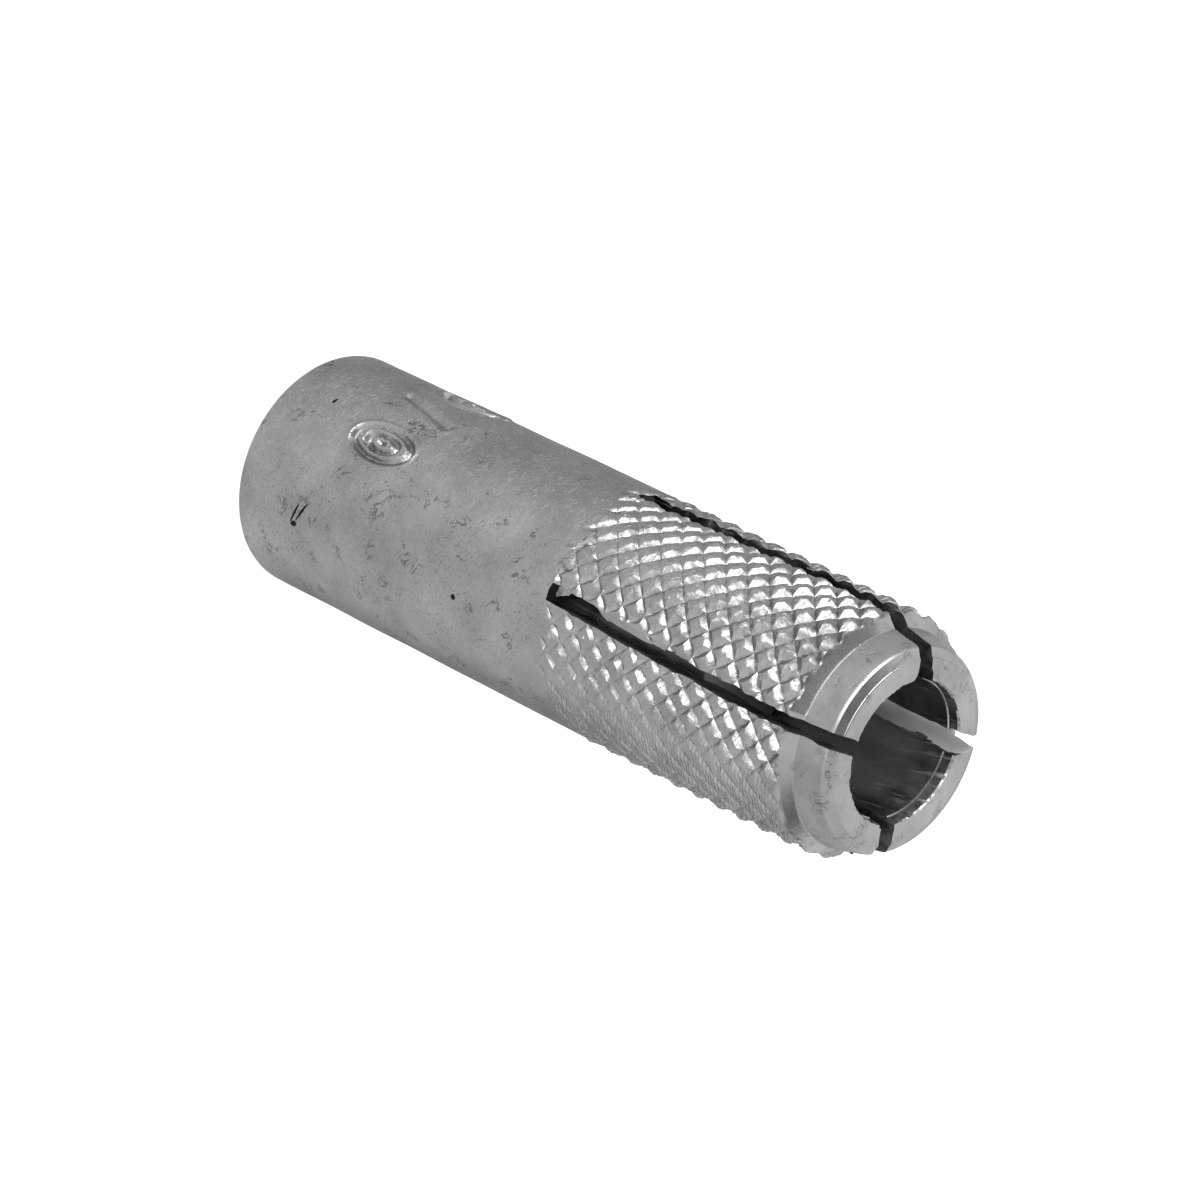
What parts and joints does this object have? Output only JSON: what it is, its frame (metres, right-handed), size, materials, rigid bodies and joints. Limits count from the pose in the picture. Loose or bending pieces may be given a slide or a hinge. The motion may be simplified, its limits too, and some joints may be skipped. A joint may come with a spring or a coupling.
{
  "type": "drop in anchor",
  "caption": "Round steel anchor sleeve with a threaded bore, a knurled slotted nose end and a wedge plug inside, set flush in a drilled hole to take a bolt.",
  "frame": {"origin": "centre of the sleeve's smooth threaded end, which it stands on", "axes": "+Z along the sleeve's axis from the threaded end to the slotted nose; +X and +Y across it, with the picture's camera on the -Y side"},
  "size_m": [0.0126, 0.0126, 0.0413],
  "materials": {
    "zinc_plated_steel": "dull bright zinc plating with fine scratches",
    "plug_steel": "plain turned steel"
  },
  "bodies": {
    "root": {"sleeve": "zinc_plated_steel", "expander_plug": "plug_steel"}
  },
  "joints": []
}
